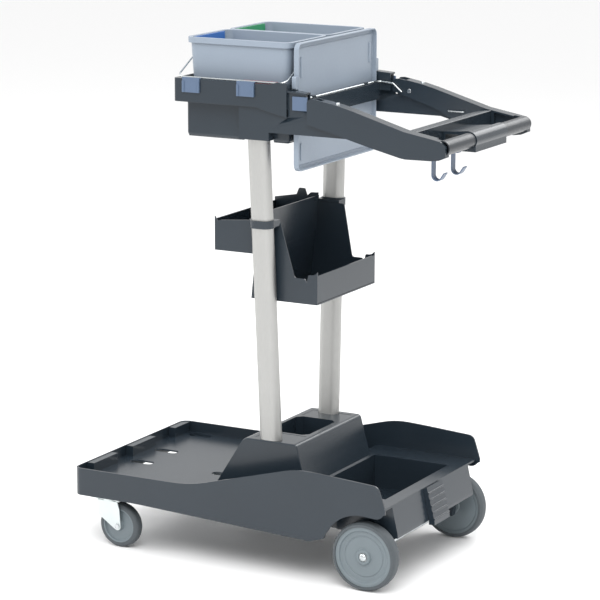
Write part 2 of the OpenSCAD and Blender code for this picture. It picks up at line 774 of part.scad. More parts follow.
// Bracket that joins a column head, the frame and the handle pivot, drawn for the right side.
module side_bracket(side) {
    top_z = frame_low_z - foot_gap;
    under_rail_z = rail_top_z - frame_wall - foot_gap;
    color(DARK) mirror([0, side > 0 ? 0 : 1, 0]) difference() {
        union() {
            // socket for the column head, under the tub and beside it
            block(socket_x0, socket_in_y, tub_bottom_z + 6, socket_x1, bracket_out_y, tub_floor_z - frame_wall - gap);
            block(socket_x0, tub_half_w + foot_gap, tub_bottom_z + 6, socket_x1, bracket_out_y, top_z);
            across(bracket_in_y, bracket_out_y) {
                polygon([
                    [socket_x1 - 1, 961], [fold_x + 97, 961], [fold_x + 97, 973],
                    [fold_x + 30, 999], [fold_x - 14, 1003], [rail_end_x + 5, 1003],
                    [rail_end_x - 1, under_rail_z - 3], [frame_end_x + foot_gap, under_rail_z],
                    [frame_end_x + foot_gap, frame_low_z - 18], [frame_end_x - 58, frame_low_z - 6],
                    [socket_x1 - 1, top_z]
                ]);
                translate([fold_x, fold_z]) circle(12);
            }
        }
        on_column(1) translate([0, 0, tub_bottom_z - console_z - 30])
            linear_extrude(column_up - tub_bottom_z + console_z + 30 + foot_gap) column_section(foot_gap);
        rod_y(fold_x, fold_z, bracket_in_y - 1, bracket_out_y + 1, fold_pin_r + run_fit);
        for (x = [-9, 9]) rod_y(column_x + x - 9, screw_z, socket_in_y - 1, socket_in_y + 5, 3);
    }
}

// Coloured marker strip on the near edge of the frame.
module colour_tab() {
    color("#b03038") block(column_x - 37, -frame_half_w + 22, frame_top_z, column_x + 46, -frame_half_w + 26,
                           frame_top_z + 2.5);
}

// Clip hooked over the top edge of the frame, open below.
module frame_clip(x0, x1, y, top_z) {
    t = 2.6;
    lip = 29;
    block(x0, -y - foot_gap - t, top_z - lip, x1, -y - foot_gap, top_z + foot_gap + t);
    block(x0, -y - foot_gap, top_z + foot_gap, x1, -y + 5, top_z + foot_gap + t);
    for (x = [x0, x1 - 5]) block(x, -y - foot_gap - t - 1.6, top_z - lip, x + 5, -y - foot_gap - t, top_z - 4);
}

module frame_clips(side) {
    color(CLIP_BLUE) mirror([0, side > 0 ? 1 : 0, 0]) {
        frame_clip(frame_x + 24, frame_x + 66, frame_half_w, frame_top_z);
        frame_clip(frame_x + 157, frame_x + 199, frame_half_w, frame_top_z);
        bracket_clip_z = rail_top_z - 3 - frame_wall - foot_gap;
        block(frame_end_x + 12, -bracket_out_y - foot_gap - 2.6, bracket_clip_z - 33,
              rail_end_x + 3, -bracket_out_y - foot_gap, bracket_clip_z - 4);
    }
}

// ---- buckets -------------------------------------------------------------

bucket_x0 = frame_x + 10.5;
bucket_x1 = bucket_x0 + bucket_length;
bucket_floor_z = tub_floor_z + foot_gap;
bucket_y0 = 1;
bail_pivot_z = bucket_top_z - 21;
bail_pivot_y = bucket_y0 + bucket_width / 2;
bail_out = 4.4;

// Tapered box: narrower at its floor by t on every side.
module tapered_box(x0, y0, z0, x1, y1, z1, t) {
    intersection() {
        across(y0, y1) polygon([[x0 + t, z0], [x1 - t, z0], [x1, z1], [x0, z1]]);
        along(x0, x1) polygon([[y0 + t, z0], [y1 - t, z0], [y1, z1], [y0, z1]]);
    }
}

module bucket(side) {
    w = bucket_wall;
    lip = 5;
    y0 = bucket_y0;
    y1 = bucket_y0 + bucket_width;
    color(BLUE_GREY) mirror([0, side > 0 ? 0 : 1, 0]) difference() {
        union() {
            tapered_box(bucket_x0 + lip, y0 + lip, bucket_floor_z, bucket_x1 - lip, y1 - lip,
                        bucket_top_z, bucket_taper);
            block(bucket_x0, y0, bucket_top_z - 14, bucket_x1, y1, bucket_top_z);
            // bosses for the bail ends
            for (x = [bucket_x0 + 2, bucket_x1 - 8]) translate([x, bail_pivot_y, bail_pivot_z])
                rotate([0, 90, 0]) cylinder(h = 6, r = 6.5);
        }
        tapered_box(bucket_x0 + lip + w, y0 + lip + w, bucket_floor_z + w, bucket_x1 - lip - w,
                    y1 - lip - w, bucket_top_z + 0.01, bucket_taper);
        // hollow underside of the rim
        difference() {
            block(bucket_x0 + w, y0 + w, bucket_top_z - 15, bucket_x1 - w, y1 - w, bucket_top_z - w);
            tapered_box(bucket_x0 + lip, y0 + lip, bucket_floor_z, bucket_x1 - lip, y1 - lip,
                        bucket_top_z, bucket_taper);
        }
        for (x = [bucket_x0 - 1, bucket_x1 - 4.5]) translate([x, bail_pivot_y, bail_pivot_z])
            rotate([0, 90, 0]) cylinder(h = 5.5, r = bail_r + run_fit);
    }
}

// Colour-coded plate hung inside the front end of a bucket.
module bucket_insert(side) {
    w = bucket_wall;
    x = bucket_x0 + 5 + w;
    color(side > 0 ? "#2f8a5c" : "#2f62a8") mirror([0, side > 0 ? 0 : 1, 0])
        across(bucket_y0 + 26, bucket_y0 + bucket_width - 26) polygon([
            [x + 0.4, bucket_top_z - 2], [x + 2.9, bucket_top_z - 2],
            [x + 4.7, bucket_top_z - 40], [x + 2.2, bucket_top_z - 40]
        ]);
}

// Wire bail, laid down over the side of the frame.
module bail(side) {
    xa = bucket_x0 - bail_out;
    xb = bucket_x1 + bail_out;
    dy = frame_half_w - 8 - bail_pivot_y;
    dz = frame_top_z + bail_r + gap - bail_pivot_z;
    reach = norm([dy, dz]);
    color(STEEL) mirror([0, side > 0 ? 0 : 1, 0])
        translate([0, bail_pivot_y, bail_pivot_z]) rotate([atan2(dz, dy), 0, 0]) {
            // legs and middle bar, with the ends turned inwards at the pivots
            wire([
                [bucket_x0 + 4, 0], [xa, 0], [xa, reach], [xb, reach], [xb, 0], [bucket_x1 - 4, 0]
            ], [0, 3, 16, 16, 3, 0], bail_r);
        }
}

// ---- lid -----------------------------------------------------------------

lid_x = frame_end_x + 1;
lid_top_z = bucket_top_z;
lid_low_z = lid_top_z - lid_height;
lid_half_w = lid_width / 2;

// Flat tray-shaped lid, standing on edge with its hollow side towards the handle.
module lid() {
    t = 2.5;
    ear_z = rail_top_z + foot_gap;
    color(BLUE_GREY) {
        difference() {
            block(lid_x, -lid_half_w, lid_low_z, lid_x + lid_depth, lid_half_w, lid_top_z);
            block(lid_x + t, -lid_half_w + t, lid_low_z + t, lid_x + lid_depth + 1, lid_half_w - t, lid_top_z - t);
        }
        // ears that rest on the side rails
        both_sides() block(lid_x + 1, -lid_half_w - 11, ear_z, lid_x + lid_depth - 1, -lid_half_w + 1, ear_z + 28);
        // stiffening ribs inside
        both_sides() for (y = [-lid_half_w + 22]) {
            block(lid_x + t - 1, y, lid_low_z + 22, lid_x + 7, y + 3, lid_low_z + 58);
            block(lid_x + t - 1, y, lid_top_z - 74, lid_x + 7, y + 3, lid_top_z - 30);
        }
    }
}

// ---- bag clamp -----------------------------------------------------------

clamp_r = 2;
clamp_x = crossbar_x + crossbar_t / 2;
clamp_z = crossbar_top_z + clamp_r + foot_gap;
clamp_half_w = rail_in_y - 4;

clamp_arm = 33;
clamp_droop = 5;

module bag_clamp() {
    hw = clamp_half_w;
    color(STEEL) translate([clamp_x, 0, clamp_z]) rotate([0, clamp_droop, 0]) {
        wire([[clamp_arm, -hw], [0, -hw], [0, hw], [clamp_arm, hw]], [0, 10, 10, 0], clamp_r);
        // leg ends bent down behind the lid slot
        both_sides() translate([clamp_arm, -hw, 0]) rotate([90, 0, 0])
            wire([[0, 0], [4, 0], [27, -16]], [0, 8, 0], clamp_r);
    }
}

// Saddles that hold the clamp wire on the cross rail.
module clamp_saddles() {
    color(DARK) both_sides() difference() {
        block(crossbar_x + 0.2, -128, crossbar_top_z, crossbar_x + crossbar_t - 0.2, -114, clamp_z + 3.6);
        rod_y(clamp_x, clamp_z, -130, -112, clamp_r + run_fit);
    }
}

// ---- handle --------------------------------------------------------------

sleeve_t = 2;
grip_x = overall_length / 2 - grip_r - sleeve_t;
arm_in_y = arm_half_w - arm_w;
arm_heel_x = fold_x - 40;
bar_rear_x = grip_x - 94;
bar_front_x = grip_x - 70;
bar_top_z = grip_z + 26;
grip_mouth_y = 197;
catch_x = grip_x - 153;
catch_z = grip_z + 18;
catch_half = 19;
catch_r = 1.5;

// Outline of an arm's outer cheek.
module cheek_side() {
    polygon([
        [arm_heel_x, fold_z - 26.5], [fold_x + 63, grip_z + 2], [grip_x - 160, grip_z - 10],
        [grip_x - 92, grip_z - 26], [grip_x - 80, grip_z - 27.5], [grip_x - 22, grip_z - 26.5],
        [grip_x - 4, grip_z - 24], [grip_x + 10, grip_z - 18], [grip_x + 10, grip_z + 5],
        [grip_x - 2, grip_z + 14.5], [grip_x - 20, grip_z + 18], [grip_x - 84, grip_z + 29],
        [fold_x + 60, fold_z + 10], [fold_x + 32, fold_z + 17], [fold_x - 24, fold_z + 27],
        [fold_x - 34, fold_z + 26], [arm_heel_x, fold_z + 20]
    ]);
}

// Outline of an arm's shallower inner wall.
module inner_wall_side() {
    polygon([
        [arm_heel_x, fold_z - 2], [fold_x - 25, fold_z - 7], [fold_x + 43, fold_z - 27],
        [fold_x + 58, fold_z - 32], [grip_x - 140, grip_z - 10], [bar_front_x + 5, grip_z - 18],
        [bar_front_x + 5, grip_z + 20], [grip_x - 84, grip_z + 28], [fold_x + 60, fold_z + 9],
        [fold_x + 32, fold_z + 16], [fold_x - 24, fold_z + 26], [fold_x - 34, fold_z + 25],
        [arm_heel_x, fold_z + 19]
    ]);
}

// Strip along the top of an arm, as thick as its wall.
module arm_top_side() {
    t = arm_wall;
    difference() {
        cheek_side();
        translate([0, -t]) cheek_side();
        rect(arm_heel_x - 1, 0, fold_x - 8, 2000);
        rect(grip_x - 18, 0, grip_x + 40, 2000);
        rect(arm_heel_x - 1, 0, grip_x, grip_z + 8);
    }
}

module handle_arm(side) {
    t = arm_wall;
    color(DARK) mirror([0, side > 0 ? 0 : 1, 0]) difference() {
        union() {
            across(arm_half_w - t, arm_half_w) cheek_side();
            across(arm_in_y, arm_in_y + t) inner_wall_side();
            across(arm_in_y, arm_half_w) arm_top_side();
            // end block that holds the grip
            across(grip_mouth_y, arm_half_w) intersection() {
                cheek_side();
                rect(bar_front_x + 3, 0, grip_x + 40, 2000);
            }
            // web that closes the arm behind the front cross bar
            across(arm_in_y, arm_half_w) intersection() {
                cheek_side();
                rect(bar_front_x + 2, grip_z - 18, bar_front_x + 6, 2000);
            }
        }
        rod_y(fold_x, fold_z, arm_in_y - 1, arm_half_w - 1.2, fold_pin_r + run_fit);
        rod_y(grip_x, grip_z, grip_mouth_y - 1, grip_mouth_y + 10, grip_r + run_fit);
        for (x = [-catch_half, catch_half])
            rod_y(catch_x + x, catch_z, arm_in_y - 1, arm_in_y + arm_wall + 1, catch_r + run_fit);
        translate([fold_x + 26, arm_half_w - 14, fold_z]) cylinder(h = 40, r = 4 + run_fit);
    }
}

// Front cross bar of the bag opening, an inverted channel.
module handle_crossbar() {
    t = arm_wall;
    color(DARK) difference() {
        block(bar_rear_x, -arm_in_y, grip_z - 17, bar_front_x, arm_in_y, bar_top_z);
        block(bar_rear_x + t, -arm_in_y + 12, grip_z - 18, bar_front_x - t, arm_in_y - 12, bar_top_z - t);
    }
}

module grip_tube() {
    color("#3c444c") difference() {
        rod_y(grip_x, grip_z, -grip_mouth_y - 9.5, grip_mouth_y + 9.5, grip_r);
        rod_y(grip_x, grip_z, -grip_mouth_y - 10, grip_mouth_y + 10, grip_r - 2.5);
    }
}

// Sleeve around the middle of the grip and the web that ties it to the cross bar.
module grip_bridge() {
    sleeve_half_w = 78;
    web_half_w = 55;
    r = grip_r + sleeve_t;
    color(DARK) difference() {
        union() {
            across(-sleeve_half_w, sleeve_half_w) {
                translate([grip_x, grip_z]) circle(r);
                translate([grip_x, grip_z]) rect(-r, -24, r - 3, 0);
            }
            across(-web_half_w, web_half_w) polygon([
                [bar_front_x, grip_z + 11], [bar_front_x + 30, grip_z + 13], [grip_x - 8, grip_z + 16],
                [grip_x - 8, grip_z - 8], [grip_x - 20, grip_z - 8], [grip_x - 20, grip_z + 6],
                [bar_front_x + 4, grip_z + 6], [bar_front_x + 4, grip_z - 14], [bar_front_x, grip_z - 14]
            ]);
        }
        rod_y(grip_x, grip_z, -sleeve_half_w - 1, sleeve_half_w + 1, grip_r + run_fit);
    }
}

module fold_pins() {
    color(STEEL) both_sides() rod_y(fold_x, fold_z, -arm_half_w + 1.5, -arm_in_y + 1, fold_pin_r);
}

// Bright heads of the latches in the tops of the arms.
module latch_studs() {
    color(STEEL) both_sides() translate([fold_x + 26, -arm_half_w + 14, fold_z + 14])
        rotate_extrude() polygon([[0, 0], [4, 0], [4, 5.6], [3.2, 7.2], [1.8, 8.2], [0, 8.6]]);
}

hook_x = grip_x - 34;
hook_top_z = grip_z - 24;

// Flat rail under the handle that carries the hooks.
module hook_rail() {
    color(DARK) difference() {
        block(hook_x - 12, -grip_mouth_y, hook_top_z, hook_x + 12, grip_mouth_y, hook_top_z + 4);
        for (y = [-176, -82]) translate([hook_x + 6, y, hook_top_z - 1]) cylinder(h = 6, r = 2.5);
    }
}

// Points on an arc in the side view.
function arc(cx, cz, r, a0, a1, n) = [
    for (i = [0 : n]) [cx + r * cos(a0 + (a1 - a0) * i / n), cz + r * sin(a0 + (a1 - a0) * i / n)]
];

// One J-shaped strip hook with its foot under the rail.
module strip_hook(y) {
    t = 2.4;
    r = 11;
    drop = 36;
    cx = hook_x + r;
    cz = hook_top_z - drop;
    across(y - hook_w / 2, y + hook_w / 2) polygon(concat(
        [[hook_x - t / 2, hook_top_z - 0.01]],
        arc(cx, cz, r + t / 2, 180, 320, 20),
        [[cx + 17, cz + 4], [cx + 15.5, cz + 6]],
        arc(cx, cz, r - t / 2, 320, 180, 20),
        [[hook_x + t / 2, hook_top_z - t], [hook_x + 14, hook_top_z - t], [hook_x + 14, hook_top_z - 0.01]]
    ));
    translate([hook_x + 6, y, hook_top_z - t + 0.2]) cylinder(h = t + 5, r = 2.5 - run_fit);
}

module handle_hooks() {
    color(CLIP_BLUE) for (y = [-176, -82]) strip_hook(y);
}

// Small bent wires that hold the rim of the bag on the arms.
module bag_catches() {
    color(STEEL) both_sides() translate([catch_x, -arm_in_y, catch_z])
        wire([
            [-catch_half, -3], [-catch_half, 5], [catch_half, 5], [catch_half, -3]
        ], [0, 3, 3, 0], catch_r);
}

base_tray();
column_cover(-1);  // column_cover_left
column_cover(1);  // column_cover_right
foot_plate();
rear_axle();
axle_caps();
rear_wheel(-1);  // rear_wheel_left
rear_wheel(1);  // rear_wheel_right
rear_tyre(-1);  // rear_tyre_left
rear_tyre(1);  // rear_tyre_right
rear_bush(-1);  // rear_bush_left
rear_bush(1);  // rear_bush_right
caster_plate(-1);  // caster_plate_left
caster_plate(1);  // caster_plate_right
caster_fork(-1);  // caster_fork_left
caster_fork(1);  // caster_fork_right
caster_axle(-1);  // caster_axle_left
caster_axle(1);  // caster_axle_right
caster_wheel(-1);  // caster_wheel_left
caster_wheel(1);  // caster_wheel_right
caster_tyre(-1);  // caster_tyre_left
caster_tyre(1);  // caster_tyre_right
column(-1);  // column_left
column(1);  // column_right
column_screws();
organiser();
organiser_strap(-1);  // organiser_strap_left
organiser_strap(1);  // organiser_strap_right
bucket_tub();
bucket_frame();
side_bracket(-1);  // side_bracket_left
side_bracket(1);  // side_bracket_right
colour_tab();
frame_clips(-1);  // frame_clips_left
frame_clips(1);  // frame_clips_right
bucket(-1);  // bucket_left
bucket(1);  // bucket_right
bucket_insert(-1);  // bucket_insert_left
bucket_insert(1);  // bucket_insert_right
bail(-1);  // bail_left
bail(1);  // bail_right
lid();
bag_clamp();
clamp_saddles();
handle_arm(-1);  // handle_arm_left
handle_arm(1);  // handle_arm_right
handle_crossbar();
grip_tube();
grip_bridge();
fold_pins();
latch_studs();
hook_rail();
handle_hooks();
bag_catches();
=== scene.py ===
"""Looks of a housekeeping cart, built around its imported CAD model."""

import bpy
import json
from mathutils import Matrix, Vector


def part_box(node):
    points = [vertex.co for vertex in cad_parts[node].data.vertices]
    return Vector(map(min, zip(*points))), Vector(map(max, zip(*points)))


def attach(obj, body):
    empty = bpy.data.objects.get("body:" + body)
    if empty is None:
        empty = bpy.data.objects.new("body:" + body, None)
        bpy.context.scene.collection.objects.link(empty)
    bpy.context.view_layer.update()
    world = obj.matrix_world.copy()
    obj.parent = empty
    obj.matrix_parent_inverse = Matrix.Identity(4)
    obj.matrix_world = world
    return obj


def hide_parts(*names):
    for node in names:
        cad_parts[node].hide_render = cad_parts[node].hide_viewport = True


bl_info = {
    "name": "Housekeeping Cart",
    "version": (1, 0, 0),
    "blender": (4, 5, 0),
    "location": "3D View > Sidebar > Cart",
    "description": "Builds the pieces, finishes and studio of a housekeeping cart",
    "category": "Object",
}

import json
import math

import bmesh
import bpy
from bpy.props import FloatProperty, FloatVectorProperty, PointerProperty
from mathutils import Matrix, Vector

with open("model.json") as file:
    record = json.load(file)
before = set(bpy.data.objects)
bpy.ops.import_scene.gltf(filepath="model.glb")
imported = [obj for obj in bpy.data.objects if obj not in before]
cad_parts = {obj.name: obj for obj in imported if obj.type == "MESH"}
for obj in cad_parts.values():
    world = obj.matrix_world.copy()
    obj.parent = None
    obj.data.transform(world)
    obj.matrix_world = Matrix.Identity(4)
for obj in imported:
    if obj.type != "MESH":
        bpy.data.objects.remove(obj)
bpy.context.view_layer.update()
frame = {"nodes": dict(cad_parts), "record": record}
MM = 0.001
SIDES = ("left", "right")
SAME_PLACE = 2e-5
EAR_HEIGHT = 1053.3 * MM


# ---- sizes and colours ---------------------------------------------------


def from_hex(code):
    """A hex colour as the linear values that shaders take."""
    parts = [int(code[i : i + 2], 16) / 255 for i in (1, 3, 5)]
    return tuple(p / 12.92 if p <= 0.04045 else ((p + 0.055) / 1.055) ** 2.4 for p in parts)


def length(name, description, mm):
    return FloatProperty(name=name, description=description, default=mm * MM, unit="LENGTH", min=0.0)


def colour(name, description, code):
    return FloatVectorProperty(
        name=name, description=description, subtype="COLOR", size=3, min=0, max=1, default=from_hex(code)
    )


class CartSizes(bpy.types.PropertyGroup):
    """Sizes of the details that are added to the frame."""

    body_round: length("Moulding edge", "Radius of the edges of the big mouldings", 3)
    console_half_width: length("Console half width", "Half the width of the console", 154)
    fine_round: length("Fine edge", "Radius of the edges of small parts", 0.8)


class CartColours(bpy.types.PropertyGroup):
    """Colours of the finishes."""

    dark: colour("Dark plastic", "Colour of the base, frame and arms", "#242d35")
    light: colour("Light plastic", "Colour of the buckets and lid", "#87929f")
    clip: colour("Clip plastic", "Colour of the clips and hooks", "#52637b")
    wheel: colour("Wheel centre", "Colour of the wheel centres", "#6c767b")
    tyre: colour("Tyre", "Colour of the tyre treads", "#4a5054")
    insert_left: colour("Left bucket insert", "Colour code of the left bucket", "#2f62a8")
    insert_right: colour("Right bucket insert", "Colour code of the right bucket", "#2f8a5c")
    tab: colour("Colour strip", "Colour of the strip on the frame", "#b03038")


# ---- finishes ------------------------------------------------------------


def add_node(tree, kind, inputs=None, **settings):
    """Adds one node, sets it up and links or sets its inputs."""
    made = tree.nodes.new(kind)
    for key, value in settings.items():
        setattr(made, key, value)
    for key, value in (inputs or {}).items():
        if isinstance(value, bpy.types.NodeSocket):
            tree.links.new(value, made.inputs[key])
        else:
            made.inputs[key].default_value = value
    return made


def new_finish(name):
    """An empty material with its shader and its object coordinates, in metres."""
    made = bpy.data.materials.new(name)
    made.use_nodes = True
    tree = made.node_tree
    shader = tree.nodes["Principled BSDF"]
    place = add_node(tree, "ShaderNodeTexCoord").outputs["Object"]
    return made, tree, shader, place


def textured(tree, shader, shine, low, high, relief, strength, depth):
    """Spreads the roughness over a range by one pattern and dents the surface by another."""
    spread = add_node(
        tree, "ShaderNodeMapRange",
        {"Value": shine, "From Min": 0.3, "From Max": 0.7, "To Min": low, "To Max": high},
    )
    tree.links.new(spread.outputs[0], shader.inputs["Roughness"])
    bump = add_node(tree, "ShaderNodeBump", {"Height": relief, "Strength": strength, "Distance": depth})
    tree.links.new(bump.outputs["Normal"], shader.inputs["Normal"])


def bare_metal(shader, code):
    """Makes the shader an uncoated metal of one colour."""
    shader.inputs["Base Color"].default_value = (*from_hex(code), 1.0)
    shader.inputs["Metallic"].default_value = 1.0


def moulded_plastic(name, rgb, grain_mm, grain_depth, rough, sheen_spread, tone):
    """Injection-moulded plastic: an even colour under a spark-eroded grain."""
    made, tree, shader, place = new_finish(name)
    cloud = add_node(tree, "ShaderNodeTexNoise", {"Vector": place, "Scale": 7.0, "Detail": 4.0})
    fleck = add_node(tree, "ShaderNodeTexNoise", {"Vector": place, "Scale": 160.0, "Detail": 3.0})
    grain = add_node(
        tree, "ShaderNodeTexNoise",
        {"Vector": place, "Scale": 1.0 / (grain_mm * MM), "Detail": 2.0, "Roughness": 0.6},
    )
    # flow of the melt leaves very faint lighter and darker clouds
    tint = add_node(
        tree, "ShaderNodeMapRange",
        {
            "Value": cloud.outputs["Fac"], "From Min": 0.3, "From Max": 0.7,
            "To Min": 1 - tone, "To Max": 1 + tone,
        },
    ).outputs[0]
    grey = add_node(tree, "ShaderNodeCombineColor", {0: tint, 1: tint, 2: tint}).outputs[0]
    # the colour sockets of this node are its inputs 6 and 7 and its output 2
    shade = add_node(
        tree, "ShaderNodeMix", {"Factor": 1.0, 6: (*rgb, 1.0), 7: grey},
        data_type="RGBA", blend_type="MULTIPLY",
    )
    tree.links.new(shade.outputs[2], shader.inputs["Base Color"])
    textured(
        tree, shader, fleck.outputs["Fac"], rough - sheen_spread, rough + sheen_spread,
        grain.outputs["Fac"], grain_depth, grain_mm * MM * 0.35,
    )
    shader.inputs["IOR"].default_value = 1.49
    return made


def drawn_metal(name, code, rough, line_mm, along_axis, depth):
    """Metal with fine lines left by drawing along one direction."""
    made, tree, shader, place = new_finish(name)
    stretch = [1.0 / (line_mm * MM)] * 3
    stretch["XYZ".index(along_axis)] /= 120.0
    lined = add_node(tree, "ShaderNodeMapping", {"Vector": place, "Scale": stretch})
    lines = add_node(
        tree, "ShaderNodeTexNoise", {"Vector": lined.outputs["Vector"], "Scale": 1.0, "Detail": 3.0}
    )
    textured(
        tree, shader, lines.outputs["Fac"], rough - 0.06, rough + 0.08,
        lines.outputs["Fac"], depth, 0.05 * MM,
    )
    bare_metal(shader, code)
    return made


def zinc_plate(name, code, rough):
    """Bright zinc plating on steel: cloudy patches under a soft shine."""
    made, tree, shader, place = new_finish(name)
    patch = add_node(tree, "ShaderNodeTexVoronoi", {"Vector": place, "Scale": 90.0})
    haze = add_node(tree, "ShaderNodeTexNoise", {"Vector": place, "Scale": 60.0, "Detail": 4.0})
    textured(
        tree, shader, haze.outputs["Fac"], rough - 0.08, rough + 0.1,
        patch.outputs["Distance"], 0.04, 0.1 * MM,
    )
    bare_metal(shader, code)
    return made


FINISHES = {}


def make_finishes():
    """Makes every finish once, from the colours in the sidebar."""
    c = bpy.context.scene.cart_colours
    # slot, name, colour, grain in mm, its depth, roughness, its spread, spread of tone
    plastics = (
        # grained polypropylene: a shallow 1 mm grain under a semi-gloss
        ("dark_plastic", "grained_polypropylene", c.dark, 1.0, 0.03, 0.24, 0.02, 0.04),
        # smooth polypropylene of the buckets and lid: fine grain, a milky gloss
        ("light_plastic", "smooth_polypropylene", c.light, 1.6, 0.08, 0.36, 0.05, 0.03),
        # acetal of the clips and hooks: dense and slightly waxy
        ("clip_plastic", "acetal_clip", c.clip, 1.2, 0.08, 0.34, 0.04, 0.03),
        # nylon of the wheel centres: a little duller than the mouldings
        ("wheel_grey", "nylon_wheel_centre", c.wheel, 1.0, 0.12, 0.4, 0.05, 0.04),
        # thermoplastic rubber: matt with a fine pebble that scatters light
        ("tyre_grey", "thermoplastic_rubber", c.tyre, 0.8, 0.45, 0.66, 0.06, 0.06),
        # unfilled nylon of the bushes
        ("bush", "white_nylon_bush", from_hex("#d8d8d4"), 1.0, 0.05, 0.35, 0.03, 0.02),
        # glossy polypropylene plates and strip that carry the colour code
        ("insert_blue", "blue_insert_plastic", c.insert_left, 1.2, 0.05, 0.32, 0.03, 0.02),
        ("insert_green", "green_insert_plastic", c.insert_right, 1.2, 0.05, 0.32, 0.03, 0.02),
        ("tab_red", "red_strip_plastic", c.tab, 1.2, 0.05, 0.35, 0.03, 0.02),
        # soft rubber over the grip: worn smooth by hands
        ("grip_rubber", "soft_grip_rubber", from_hex("#23292f"), 0.9, 0.2, 0.34, 0.05, 0.05),
    )
    for slot, *facts in plastics:
        FINISHES[slot] = moulded_plastic(*facts)
    # satin anodised tube: fine draw lines along its length
    FINISHES["column_aluminium"] = drawn_metal("satin_anodised_aluminium", "#b4b4b2", 0.5, 0.9, "Z", 0.12)
    # zinc plated wire and pins, and the duller pressings of the casters
    FINISHES["plated_steel"] = zinc_plate("bright_zinc_plated_wire", "#c9ced0", 0.24)
    FINISHES["fork_steel"] = zinc_plate("zinc_plated_pressing", "#d2d9d9", 0.34)


# ---- shared modelling ----------------------------------------------------


def finished(name, bm, body, slot, nodes=(), bevel=0.0, segments=3, angle=32.0):
    """Turns a mesh into a piece: edges rounded, finish on, riding on its body."""
    mesh = bpy.data.meshes.new(name)
    bm.to_mesh(mesh)
    bm.free()
    mesh.materials.append(FINISHES[slot])
    mesh.shade_smooth()
    mesh.set_sharp_from_angle(angle=math.radians(angle))
    piece = bpy.data.objects.new(name, mesh)
    bpy.context.scene.collection.objects.link(piece)
    if bevel > 0:
        edge = piece.modifiers.new("edges", "BEVEL")
        edge.width = bevel
        edge.segments = segments
        edge.limit_method = "ANGLE"
        edge.angle_limit = math.radians(angle)
        edge.miter_outer = "MITER_ARC"
        # flat faces keep their own normals and the rounded edges blend into them
        lie = piece.modifiers.new("flat faces", "WEIGHTED_NORMAL")
        lie.keep_sharp = True
        lie.weight = 100
    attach(piece, body)
    if nodes:
        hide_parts(*nodes)
    return piece


def from_frame(node):
    """The CAD node's own shape as a clean mesh."""
    bm = bmesh.new()
    bm.from_mesh(frame["nodes"][node].data)
    bmesh.ops.remove_doubles(bm, verts=bm.verts, dist=SAME_PLACE)
    bmesh.ops.dissolve_limit(
        bm, angle_limit=math.radians(0.5), verts=bm.verts, edges=bm.edges, use_dissolve_boundaries=False
    )
    # faces that wrap around a hole are cut into plain ones again
    bmesh.ops.connect_verts_concave(bm, faces=bm.faces)
    return bm


def cut_edges(bm, edges, radius, segments=5, clamp=True):
    """Rounds the given edges of a mesh."""
    bmesh.ops.bevel(
        bm, geom=list(edges), offset=radius, offset_type="OFFSET", segments=segments, profile=0.5,
        affect="EDGES", material=-1, clamp_overlap=clamp,
    )


def along(bm, axis):
    """The outer edges of a mesh, bent by over 20 degrees, that run along one axis."""
    picked = []
    for edge in bm.edges:
        run = (edge.verts[1].co - edge.verts[0].co).normalized()
        if len(edge.link_faces) == 2 and abs(run["XYZ".index(axis)]) > 0.99:
            if edge.calc_face_angle_signed(0) > math.radians(20):
                picked.append(edge)
    return picked


def at_corners(bm, axis, low_only=False):
    """The edges over 8 mm long that run along one axis at the corners of a mesh's own box."""
    others = [k for k in range(3) if k != "XYZ".index(axis)]
    ends = {k: (min(v.co[k] for v in bm.verts), max(v.co[k] for v in bm.verts)) for k in others}

    def lies(edge):
        for k in others:
            reach = ends[k][:1] if low_only and k == 2 else ends[k]
            if not any(all(abs(v.co[k] - end) < SAME_PLACE for v in edge.verts) for end in reach):
                return False
        return True

    return [edge for edge in bm.edges if edge.calc_length() > 8 * MM and lies(edge)]


def cuboid(lo, hi):
    """A block between two corners."""
    bm = bmesh.new()
    bmesh.ops.create_cube(bm, size=1)
    lo, hi = Vector(lo), Vector(hi)
    bmesh.ops.scale(bm, vec=hi - lo, verts=bm.verts)
    bmesh.ops.translate(bm, vec=(lo + hi) / 2, verts=bm.verts)
    return bm


def joined(*parts):
    """Several meshes as one."""
    whole = bmesh.new()
    for part in parts:
        held = bpy.data.meshes.new("part")
        part.to_mesh(held)
        part.free()
        whole.from_mesh(held)
        bpy.data.meshes.remove(held)
    return whole


def turned(points, centre, axis, steps=96):
    """A closed profile of (radius, offset) in millimetres, spun about a level axis."""
    bm = bmesh.new()
    side = Vector((0, 0, 1))
    run = Vector([float(name == axis) for name in "XYZ"])
    ring = [bm.verts.new(Vector(centre) + (side * r + run * off) * MM) for r, off in points]
    rim = [bm.edges.new((a, b)) for a, b in zip(ring, ring[1:] + ring[:1])]
    bmesh.ops.spin(
        bm, geom=ring + rim, cent=centre, axis=run, steps=steps, angle=math.tau,
        use_merge=True, use_duplicate=False,
    )
    bmesh.ops.remove_doubles(bm, verts=bm.verts, dist=1e-6)
    bmesh.ops.recalc_face_normals(bm, faces=bm.faces)
    return bm


BODY_OF = {n: b for b, ns in frame["record"]["behaviour"]["bodies"].items() for n in ns}
SLOT_OF = {s["node"]: s["material_slot"] for s in frame["record"]["subparts"]}


def rounded(node, bevel, segments=3, angle=32.0, corner=0.0):
    """A CAD node with the edges that its mould or press leaves, and its outline cut round."""
    bm = from_frame(node)
    if corner:
        cut_edges(bm, along(bm, "Y"), corner)
    return standing_for(node, bm, bevel, segments, angle)


def standing_for(node, bm, bevel=0.0, segments=3, angle=32.0):
    """A mesh that takes one CAD node's place, body and finish."""
    return finished(node + "_piece", bm, BODY_OF[node], SLOT_OF[node], [node], bevel, segments, angle)


# ---- operators -----------------------------------------------------------


